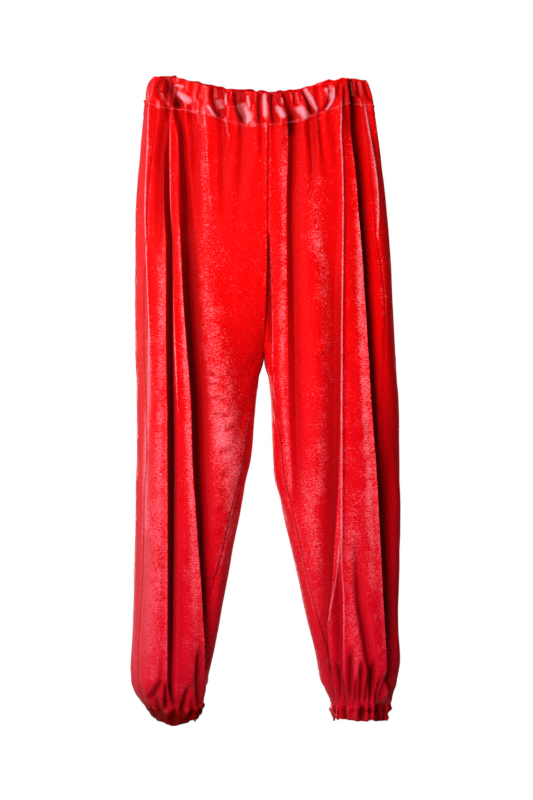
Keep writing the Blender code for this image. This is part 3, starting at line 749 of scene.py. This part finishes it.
def side_rings(side, levels, casing):
    """Fine rings of one side with their marks, and each point's angle and its way along the ring.

    Channels of a point: x, y, z, and the shade and the sheen painted into its colour.
    """
    level = np.asarray(levels, float)[:, None]
    angle = ring_angles(level)
    drop = drop_at(side, level, angle)
    x, y = section(side, drop, angle)
    base = np.stack([x, y, -drop], axis=2)
    arc = lengths(base)
    folds, shade, painted_sheen = fold_height(side, level, angle, arc)
    creases, painted_crease_shade, bulges = crease_height(base, angle, casing)
    even = gather_height(side, level, arc)
    rough = hand(side, arc, level)
    if casing:
        across = (level - level[0]) / (level[-1] - level[0])
        if level[0, 0] < CROTCH_LEVEL:
            free = ease((1 - across) / FREE_SHARE)
            even = even * (1 - (1 - BAND_GATHERS) * free)
            base[..., 2] += TOP_RUFFLE * soft_noise(arc / 8, 0 * level, 31) * (1 - across) ** 2
        else:
            free = ease(across / FREE_SHARE)
            even = even * (1 + (CUFF_CRUMPLE - 1) * free)
            base[..., 2] += HEM_RUFFLE * soft_noise(arc / 11, 0 * level, 37) * across**2
        rough = rough + (casing_hand(side, arc, level) - rough) * free
        even = even + CASING_PUFF * np.sin(np.pi * across)
    height = folds + creases + even + rough
    rings = moved_out(side, base, height)
    edge = SIGN[side] * read(MIDDLE_COLUMNS, MIDDLE, "x", drop)
    own = SIGN[side] * rings[..., 0]
    pull = 1 - ease((level - CROTCH_LEVEL) / CLOSE_REACH)
    for place, from_end in ((0, arc), (-1, arc[:, -1:] - arc)):
        short = edge[:, place:][:, :1] - own[:, place:][:, :1]
        own = own + pull * short * np.exp(-from_end / MIDDLE_PULL)
    own = np.where(level <= CROTCH_LEVEL, np.maximum(own, edge), own)
    rings[..., 0] = SIGN[side] * own
    # Painted shade in folds and creases, and painted darker over the last stretch down to each ankle.
    painted_shade = shade + painted_crease_shade + ANKLE_SHADE[side] * ease((level - ANKLE_LEVEL) / (CUFF_LEVEL - ANKLE_LEVEL))
    # On the cuffs only: painted shade in the hollows of the gathers and towards the lower edge, where the
    # cuff turns under.
    if casing:
        hollow = np.clip(-(even + rough - CASING_PUFF * np.sin(np.pi * across)) / GATHER_SHADE_DEPTH, 0, 1)
        under = UNDER_SHADE[side] * ease((across - 0.1) / 0.5)
        painted_shade = painted_shade + (GATHER_SHADE * hollow + under) * (level > CROTCH_LEVEL)
    painted_shade = np.clip(painted_shade, 0, 1)
    # Painted sheen on the crease bulges, stronger on a casing.
    painted_sheen = painted_sheen + CREASE_SHEEN[casing] * np.clip(bulges / CREST_HEIGHT, 0, 1)
    return np.concatenate([rings, painted_shade[..., None], painted_sheen[..., None]], axis=2), angle, arc


def columns_between(rings, stops, spans):
    """Columns of points between stops along each ring, closer together where cloth bends."""
    arc = lengths(rings)
    unit = np.diff(rings[..., :2], axis=1)
    unit /= np.linalg.norm(unit, axis=2, keepdims=True) + TINY
    turning = np.zeros(arc.shape)
    turning[:, 1:-1] = np.linalg.norm(np.diff(unit, axis=1), axis=2)
    measure = arc + BEND_WEIGHT * np.cumsum(turning, axis=1)
    grid = []
    for i, ring in enumerate(rings):
        marks = np.interp([stop[i] for stop in stops], arc[i], measure[i])
        even = [np.linspace(marks[k], marks[k + 1], spans[k] + 1)[1:] for k in range(len(spans))]
        places = np.interp(np.concatenate([marks[:1], *even]), measure[i], arc[i])
        grid.append(np.stack([np.interp(places, arc[i], ring[:, k]) for k in range(5)], axis=1))
    return np.array(grid)


def even_columns(rings, around, spans):
    """Columns of points, evenly spread along each ring as it lies before its folds."""
    grid = []
    for ring, places in zip(rings, around):
        even = np.linspace(0, places[-1], spans + 1)[:-1]
        grid.append(np.stack([np.interp(even, places, ring[:, k]) for k in range(5)], axis=1))
    return np.array(grid)


def place_at(angles, arc, angle):
    """Length along each ring at one angle a row."""
    return np.array([np.interp(-angle[i], -angles[i], arc[i]) for i in range(len(arc))])


def grid_normals(grid, closed):
    """Unit normals of a grid of points, which point along across x down."""
    grid = grid[..., :3]
    if closed:
        wide = np.concatenate([grid[:, -1:], grid, grid[:, :1]], axis=1)
        across = np.gradient(wide, axis=1)[:, 1:-1]
    else:
        across = np.gradient(grid, axis=1)
    normal = np.cross(across, np.gradient(grid, axis=0))
    return normal / (np.linalg.norm(normal, axis=2, keepdims=True) + TINY)


def outward_normals(grid, closed):
    """A grid's unit normals, all turned away from the inside of the garment."""
    normal = grid_normals(grid, closed)
    centre = grid[..., :2].mean(axis=(0, 1))
    outwards = (normal[..., :2] * (grid[..., :2] - centre)).sum()
    return normal if outwards > 0 else -normal


def softened(normal):
    """The normals of a closed grid, evened out along its rows."""
    total = sum(np.roll(normal, step, axis=1) for step in range(-SOFT_STEPS, SOFT_STEPS + 1))
    return total / (np.linalg.norm(total, axis=2, keepdims=True) + TINY)


def shell(name, grid, wall, closed, nodes, material):
    """A thin closed shell whose outer side is the grid, as one piece that replaces solids."""
    normal = outward_normals(grid, closed)
    flipped = (normal * grid_normals(grid, closed)).sum() < 0
    marks = {"painted_shade": grid[..., 3].ravel(), "painted_sheen": grid[..., 4].ravel()}
    grid = grid[..., :3]
    inner = grid - wall * (softened(normal) if closed else normal)
    rows, columns = grid.shape[:2]
    points = np.concatenate([grid.reshape(-1, 3), inner.reshape(-1, 3)]) * MM
    inside = rows * columns
    spans = columns if closed else columns - 1
    row, column = np.meshgrid(np.arange(rows - 1), np.arange(spans), indexing="ij")
    a = (row * columns + column).ravel()
    b = (row * columns + (column + 1) % columns).ravel()
    c, d = b + columns, a + columns
    quads = [np.stack([a, b, c, d], axis=1), np.stack([a, d, c, b], axis=1) + inside]
    column = np.arange(spans)
    a, b = column, (column + 1) % columns
    quads.append(np.stack([a, a + inside, b + inside, b], axis=1))
    a, b = a + (rows - 1) * columns, b + (rows - 1) * columns
    quads.append(np.stack([a, b, b + inside, a + inside], axis=1))
    if not closed:
        a = np.arange(rows - 1) * columns
        b = a + columns
        quads.append(np.stack([a, b, b + inside, a + inside], axis=1))
        a, b = a + columns - 1, b + columns - 1
        quads.append(np.stack([a, a + inside, b + inside, b], axis=1))
    faces = np.concatenate(quads)
    if flipped:
        faces = faces[:, ::-1]
    mesh = bpy.data.meshes.new(name)
    mesh.from_pydata(points.tolist(), [], faces.tolist())
    # Painted shade and painted sheen, kept as mesh attributes for the velvet: on the outer points, none on
    # the inner ones.
    for mark, values in marks.items():
        attribute = mesh.attributes.new(mark, "FLOAT", "POINT")
        attribute.data.foreach_set("value", np.concatenate([values, 0 * values]))
    mesh.materials.append(material)
    mesh.shade_smooth()
    mesh.set_sharp_from_angle(angle=math.radians(SHARP_RIM))
    piece = bpy.data.objects.new(name, mesh)
    bpy.context.scene.collection.objects.link(piece)
    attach(piece, "root")
    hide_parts(*nodes)
    state_cut(grid * MM, closed)


def state_cut(grid, closed):
    """Close a closed grid by repeating its first column at its end; nothing more is done with it.
    """
    if closed:
        grid = np.concatenate([grid, grid[:, :1]], axis=1)


def sink_borders(side, grid):
    """A panel's borders drawn in a little where they are sewn to their neighbours."""
    normal = outward_normals(grid, False)
    steps = np.linalg.norm(np.diff(grid[..., :3], axis=1), axis=2)
    across = np.concatenate([np.zeros((len(grid), 1)), np.cumsum(steps, axis=1)], axis=1)
    to_side = np.minimum(across, across[:, -1:] - across)
    down = -grid[..., 2]
    to_end = np.minimum(down - down[:1], down[-1:] - down)
    side_sink = SEAM_SINK * np.exp(-((to_side / SEAM_WIDTH) ** 2))
    end_sink = END_SINK * np.exp(-((to_end / UNDERLAP) ** 2))
    beside = np.exp(-(((to_side - SEAM_BESIDE) / SEAM_BESIDE) ** 2))
    # Painted shade on the seam line and painted sheen just beside it.
    grid[..., 3] = np.maximum(grid[..., 3], SEAM_SHADE * np.exp(-((to_side / SEAM_LINE) ** 2)))
    grid[..., 4] += SEAM_SHEEN * beside
    grid[..., 1] -= (side_sink + end_sink) * normal[..., 1]
    grid[..., 0] -= end_sink * normal[..., 0]


def add_panels(side, material):
    """Front and back of one side."""
    first, last = SEAM_LEVEL - UNDERLAP, CUFF_LEVEL + UNDERLAP
    levels = np.linspace(first, last, int((last - first) / ROW_STEP))
    levels = np.sort(np.append(levels, [CROTCH_LEVEL - 1, CROTCH_LEVEL]))
    rings, angle, _ = side_rings(side, levels, False)
    arc = lengths(rings)
    inner_zone = SIGN[side] * (read(OUTLINE_COLUMNS, OUTLINE[side], "inner", levels) + INNER_ZONE)
    seam = place_at(angle, arc, np.radians(read(BODY_COLUMNS, BODY, "side_seam", levels)))
    front_zone = place_at(angle, arc, fold_angle(side, "front", inner_zone, levels))
    back_zone = place_at(angle, arc, fold_angle(side, "back", inner_zone, levels))
    front = columns_between(rings, (0 * seam, front_zone, seam), FRONT_SPANS)
    back = columns_between(rings, (seam, back_zone, arc[:, -1]), BACK_SPANS)
    for face, grid in (("front", front), ("back", back)):
        sink_borders(side, grid)
        nodes = (f"{face}_{side}_upper", f"{face}_{side}_lower")
        shell(f"velvet_{face}_{side}", grid, CLOTH, False, nodes, material)


def add_cuff(side, material):
    """Ankle casing of one leg."""
    rings, _, around = side_rings(side, np.linspace(CUFF_LEVEL, HEM_LEVEL, CUFF_ROWS + 1), True)
    grid = even_columns(rings, around, CUFF_SPANS)
    shell(f"velvet_cuff_{side}", grid, CASING, True, (f"cuff_{side}",), material)


def add_waistband(material):
    """Waistband casing: front middle, right side, back, left side."""
    levels = np.linspace(WAIST_LEVEL, SEAM_LEVEL - TINY, WAIST_ROWS + 1)
    right, _, right_arc = side_rings("right", levels, True)
    left, _, left_arc = side_rings("left", levels, True)
    rings = np.concatenate([right, left[:, ::-1]], axis=1)
    back = right_arc[:, -1:] + left_arc[:, -1:] - left_arc[:, ::-1]
    grid = even_columns(rings, np.concatenate([right_arc, back], axis=1), WAIST_SPANS)
    shell("velvet_waistband", grid, CASING, True, ("waistband",), material)
    add_stitches("stitches_waistband", grid, -1 - STITCH_ROW, True, thread_material)


def add_stitches(name, grid, row, closed_grid, material):
    """A row of small raised stitches round a casing, just above its seam, as one joined mesh."""
    normal = outward_normals(grid, closed_grid)
    line = grid[row, :, :3] + STITCH_RISE * normal[row]
    line = np.concatenate([line, line[:1]])
    steps = np.linalg.norm(np.diff(line, axis=0), axis=1)
    reach = np.concatenate([[0], np.cumsum(steps)])
    count = int(reach[-1] / STITCH_PITCH)
    starts = np.arange(count) * STITCH_PITCH
    points, faces = [], []
    for start in starts:
        marks = start + STITCH_LENGTH * np.array([0, 0.25, 0.75, 1])
        centre = np.stack([np.interp(marks, reach, line[:, k]) for k in range(3)], axis=1)
        out = np.array([np.interp(start, reach[:-1], normal[row, :, k]) for k in range(3)])
        out /= np.linalg.norm(out)
        side = np.cross(centre[-1] - centre[0], out)
        side /= np.linalg.norm(side) + TINY
        first = len(points)
        points.append(centre[0])
        for middle in centre[1:3]:
            for turn in range(STITCH_SIDES):
                angle = 2 * np.pi * turn / STITCH_SIDES
                points.append(middle + STITCH_RADIUS * (math.cos(angle) * out + math.sin(angle) * side))
        points.append(centre[3])
        last = len(points) - 1
        for turn in range(STITCH_SIDES):
            after = (turn + 1) % STITCH_SIDES
            a, b = first + 1 + turn, first + 1 + after
            c, d = a + STITCH_SIDES, b + STITCH_SIDES
            faces.extend([(first, b, a), (a, b, d, c), (c, d, last)])
    mesh = bpy.data.meshes.new(name)
    mesh.from_pydata((np.array(points) * MM).tolist(), [], faces)
    mesh.materials.append(material)
    mesh.shade_smooth()
    piece = bpy.data.objects.new(name, mesh)
    bpy.context.scene.collection.objects.link(piece)
    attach(piece, "root")


def thread():
    """Pale red sewing thread, twisted and slightly shiny."""
    material = bpy.data.materials.new("thread")
    tree, shader = nodes_of(material)
    place = tree.nodes.new("ShaderNodeTexCoord").outputs["Object"]
    twist = noise(tree, place, 900, 1)
    tree.links.new(tint(tree, twist, THREAD_DARK, THREAD_PALE), shader.inputs["Base Color"])
    shader.inputs["Roughness"].default_value = 0.45
    return material


THREAD_DARK = (0.62, 0.03, 0.05, 1)
THREAD_PALE = (0.85, 0.24, 0.29, 1)
# Painted light in the velvet's colour: a dark red for painted shade, a pink and a lower-leg pink for
# painted sheen, and a darker low tone painted towards the hems as shade. The deep and clear tones are the
# cloth's own red, varying at random.
PAINTED_SHADE_RED = (0.10, 0.0001, 0.0001, 1)
PAINTED_SHEEN_PINK = (0.86, 0.21, 0.25, 1)
DEEP_TONE = (0.58, 0.0006, 0.0010, 1)
CLEAR_TONE = (0.70, 0.0008, 0.0012, 1)
PAINTED_LOW_SHADE_TONE = (0.46, 0.0006, 0.0100, 1)
PAINTED_LOW_SHEEN_PINK = (0.66, 0.060, 0.100, 1)


def nodes_of(material):
    material.use_nodes = True
    tree = material.node_tree
    return tree, tree.nodes["Principled BSDF"]


def noise(tree, vector, scale, detail, roughness=0.5):
    node = tree.nodes.new("ShaderNodeTexNoise")
    node.inputs["Scale"].default_value = scale
    node.inputs["Detail"].default_value = detail
    node.inputs["Roughness"].default_value = roughness
    tree.links.new(vector, node.inputs["Vector"])
    return node.outputs["Fac"]


def blend(tree, share, first, second):
    node = tree.nodes.new("ShaderNodeMix")
    node.inputs["Factor"].default_value = share
    tree.links.new(first, node.inputs["A"])
    tree.links.new(second, node.inputs["B"])
    return node.outputs["Result"]


def spread(tree, value, start, end, low=0.0, high=1.0):
    node = tree.nodes.new("ShaderNodeMapRange")
    for name, number in (("From Min", start), ("From Max", end), ("To Min", low), ("To Max", high)):
        node.inputs[name].default_value = number
    tree.links.new(value, node.inputs["Value"])
    return node.outputs["Result"]


def tint(tree, share, first, second):
    """A mix of two colours, each a socket or a value, by a linked share."""
    node = tree.nodes.new("ShaderNodeMix")
    node.data_type = "RGBA"
    tree.links.new(share, node.inputs[0])
    for socket, colour in ((node.inputs[6], first), (node.inputs[7], second)):
        if isinstance(colour, tuple):
            socket.default_value = colour
        else:
            tree.links.new(colour, socket)
    return node.outputs[2]


def mark(tree, name):
    node = tree.nodes.new("ShaderNodeAttribute")
    node.attribute_name = name
    return node.outputs["Fac"]


def velvet(name, smooth, rough, specular, relief, painted_low_sheen, ribbed, sheen_speckle):
    """Short-pile stretch velvet: saturated red, with pink highlights and dark shade painted into its
    colour, the highlights broken up by its nap.
    """
    material = bpy.data.materials.new(name)
    tree, shader = nodes_of(material)
    new, link = tree.nodes.new, tree.links.new
    place = new("ShaderNodeTexCoord").outputs["Object"]
    stretch = new("ShaderNodeMapping")
    stretch.inputs["Scale"].default_value = (0.9, 0.9, 1.5)
    link(place, stretch.inputs["Vector"])
    nap = noise(tree, stretch.outputs["Vector"], 360, 2, 0.7)
    ribs = new("ShaderNodeTexWave")
    ribs.bands_direction = "Z"
    ribs.inputs["Scale"].default_value = 92
    ribs.inputs["Distortion"].default_value = 1.2
    ribs.inputs["Detail"].default_value = 1
    link(place, ribs.inputs["Vector"])
    pile = blend(tree, ribbed, nap, ribs.outputs["Fac"])
    patches = noise(tree, place, 38, 5, 0.62)
    both = blend(tree, 0.28, pile, patches)
    parts = new("ShaderNodeSeparateXYZ")
    link(place, parts.inputs["Vector"])
    # By height: the colour is painted darker towards the hems as shade, and its painted pink sheen grows
    # over the lower legs.
    down = spread(tree, parts.outputs["Z"], -0.38, -0.95)
    low = spread(tree, parts.outputs["Z"], -0.42, -0.72, 0.0, painted_low_sheen)
    # Painted sheen: the nap's speckle, the lower legs' share and the painted sheen mark, less the painted
    # shade mark, set where the colour is painted pink.
    sheen = new("ShaderNodeMath")
    sheen.operation = "MULTIPLY_ADD"
    link(both, sheen.inputs[0])
    sheen.inputs[1].default_value = sheen_speckle
    link(low, sheen.inputs[2])
    painted_sheen_sum = new("ShaderNodeMath")
    painted_sheen_sum.operation = "ADD"
    link(sheen.outputs["Value"], painted_sheen_sum.inputs[0])
    link(mark(tree, "painted_sheen"), painted_sheen_sum.inputs[1])
    closed = new("ShaderNodeMath")
    closed.operation = "SUBTRACT"
    link(painted_sheen_sum.outputs["Value"], closed.inputs[0])
    link(mark(tree, "painted_shade"), closed.inputs[1])
    painted_highlight = spread(tree, closed.outputs["Value"], 0.5 * sheen_speckle + 0.35, 0.5 * sheen_speckle + 1.3)
    tone = tint(tree, spread(tree, both, 0.35, 0.65), DEEP_TONE, CLEAR_TONE)
    painted_sheen_colour = tint(tree, down, PAINTED_SHEEN_PINK, PAINTED_LOW_SHEEN_PINK)
    lit = tint(tree, painted_highlight, tint(tree, down, tone, PAINTED_LOW_SHADE_TONE), painted_sheen_colour)
    # Painted shade: the shade mark darkens the colour in folds, creases, seams and at the ankles.
    shade = tint(tree, mark(tree, "painted_shade"), lit, PAINTED_SHADE_RED)
    link(shade, shader.inputs["Base Color"])
    dull = new("ShaderNodeMath")
    dull.operation = "MAXIMUM"
    link(spread(tree, both, 0.40, 0.60, smooth, rough), dull.inputs[0])
    link(mark(tree, "painted_shade"), dull.inputs[1])
    link(dull.outputs["Value"], shader.inputs["Roughness"])
    bump = new("ShaderNodeBump")
    bump.inputs["Strength"].default_value = 1.0
    bump.inputs["Distance"].default_value = relief
    link(pile, bump.inputs["Height"])
    link(bump.outputs["Normal"], shader.inputs["Normal"])
    shader.inputs["Specular IOR Level"].default_value = specular
    shader.inputs["Specular Tint"].default_value = (1.0, 0.80, 0.88, 1)
    shader.inputs["Sheen Weight"].default_value = 0.05
    shader.inputs["Sheen Roughness"].default_value = 0.30
    shader.inputs["Sheen Tint"].default_value = (1.0, 0.42, 0.48, 1)
    return material


def area_light(name, place, aim, size, power, diffuse, glossy):
    data = bpy.data.lights.new(name, "AREA")
    data.shape = "RECTANGLE"
    data.size, data.size_y = size
    data.energy = power
    light = bpy.data.objects.new(name, data)
    bpy.context.scene.collection.objects.link(light)
    light.visible_diffuse = diffuse
    light.visible_glossy = glossy
    light.location = place
    back = np.array(place) - np.array(aim)
    light.rotation_euler = Vector(back).to_track_quat("Z", "Y").to_euler()


def add_stage():
    """White surroundings, a pale floor well below the hems, and soft studio lights."""
    scene = bpy.context.scene
    scene.view_settings.view_transform = "Standard"
    scene.view_settings.look = "None"
    world = bpy.data.worlds.new("studio")
    scene.world = world
    world.use_nodes = True
    tree = world.node_tree
    background = tree.nodes["Background"]
    ray = tree.nodes.new("ShaderNodeLightPath")
    level = tree.nodes.new("ShaderNodeMapRange")
    level.inputs["To Min"].default_value = 0.02
    level.inputs["To Max"].default_value = 1.0
    tree.links.new(ray.outputs["Is Camera Ray"], level.inputs["Value"])
    tree.links.new(level.outputs["Result"], background.inputs["Strength"])
    background.inputs["Color"].default_value = (1, 1, 1, 1)
    area_light("key", (-1.3, -2.9, -0.1), (0, 0, -0.6), (1.5, 1.3), 172, True, False)
    area_light("fill", (2.2, -3.2, -0.2), (0, 0, -0.5), (1.2, 1.6), 36, True, False)
    area_light("shine", (-2.9, -2.4, 0.3), (0, 0, -0.3), (0.7, 1.2), 42, False, True)
    area_light("rim", (-3.4, 1.0, -0.4), (0, 0, -0.5), (0.5, 1.8), 60, False, True)
    area_light("behind", (1.9, 3.5, 0.5), (0, 0, -0.5), (2.0, 1.8), 250, True, False)
    area_light("fill behind", (-2.6, 2.6, 0.1), (0, 0, -0.5), (1.6, 1.8), 70, True, False)
    area_light("shine behind", (-1.5, 3.7, -0.4), (0, 0, -0.6), (0.8, 1.6), 60, False, True)
    bpy.ops.mesh.primitive_circle_add(vertices=96, radius=1.15, fill_type="NGON", location=(0, 0, -1.42))
    floor = bpy.context.object
    floor.name = "floor"
    plain = bpy.data.materials.new("floor")
    _, shader = nodes_of(plain)
    shader.inputs["Base Color"].default_value = (0.70, 0.69, 0.68, 1)
    shader.inputs["Roughness"].default_value = 0.8
    floor.data.materials.append(plain)
    floor.visible_diffuse = False


def add_camera():
    """Straight in front at mid height, 4.5 m away."""
    data = bpy.data.cameras.new("camera")
    camera = bpy.data.objects.new("camera", data)
    bpy.context.scene.collection.objects.link(camera)
    data.sensor_width = 36
    data.lens = 36 * 4.5 / 1.28
    camera.location = (0.004, -4.5, -0.496)
    camera.rotation_euler = (math.radians(90), 0, 0)
    bpy.context.scene.camera = camera


thread_material = thread()
panel_velvet = velvet("velvet", 0.42, 0.85, 0.28, 0.0013, 0.24, 0.06, 3.4)
cuff_velvet = velvet("velvet_cuff", 0.42, 0.80, 0.28, 0.0010, 0.10, 0.05, 3.0)
add_waistband(velvet("velvet_casing", 0.22, 0.45, 0.8, 0.0005, 0.0, 0.0, 2.4))
for leg in SIGN:
    add_panels(leg, panel_velvet)
    add_cuff(leg, cuff_velvet)
add_stage()
add_camera()
